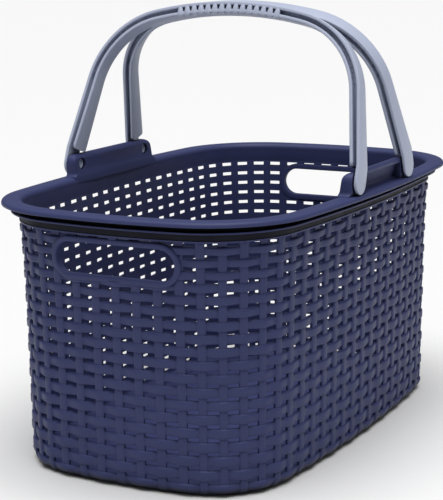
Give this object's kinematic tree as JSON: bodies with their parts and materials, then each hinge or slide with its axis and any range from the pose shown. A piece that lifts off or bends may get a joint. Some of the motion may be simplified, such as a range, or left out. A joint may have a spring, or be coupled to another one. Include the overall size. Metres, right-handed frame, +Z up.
{
  "type": "handled storage basket",
  "caption": "Wicker-look moulded plastic carry basket with a flanged rim, oval hand-holes in both ends and twin swing handles that meet over the middle in a ribbed grip.",
  "frame": {"origin": "middle of the footprint, on the surface that the basket stands on", "axes": "+Z up, +X along the basket's length, +Y across its width; the handles pivot about axes along Y"},
  "size_m": [0.417, 0.262, 0.3432],
  "materials": {
    "basket_plastic": "satin moulded polypropylene, navy",
    "handle_plastic": "satin moulded polypropylene, light grey blue"
  },
  "bodies": {
    "basket": {"rim_flange": "basket_plastic", "rim_rib": "basket_plastic", "collar": "basket_plastic", "base_curb": "basket_plastic", "floor": "basket_plastic", "far_end_wall": "basket_plastic", "near_end_wall": "basket_plastic", "left_wall": "basket_plastic", "right_wall": "basket_plastic", "far_left_corner": "basket_plastic", "near_left_corner": "basket_plastic", "near_right_corner": "basket_plastic", "far_right_corner": "basket_plastic", "far_hand_hole_frame": "basket_plastic", "near_hand_hole_frame": "basket_plastic", "left_hinge_tower": "basket_plastic", "right_hinge_tower": "basket_plastic"},
    "near_handle": {"near_handle_bow": "handle_plastic", "near_grip_ribs": "handle_plastic", "near_left_stud": "handle_plastic", "near_right_stud": "handle_plastic"},
    "far_handle": {"far_handle_bow": "handle_plastic", "far_grip_ribs": "handle_plastic", "far_left_stud": "handle_plastic", "far_right_stud": "handle_plastic"}
  },
  "joints": [
    {"name": "near_handle_hinge", "type": "hinge", "parent": "basket", "child": "near_handle", "pos_m": [-0.0495, 0, 0.212], "axis": [0, -1, 0], "range_deg": [0, 108.4]},
    {"name": "far_handle_hinge", "type": "hinge", "parent": "basket", "child": "far_handle", "pos_m": [0.0495, 0, 0.212], "axis": [0, 1, 0], "range_deg": [0, 108.4]}
  ]
}
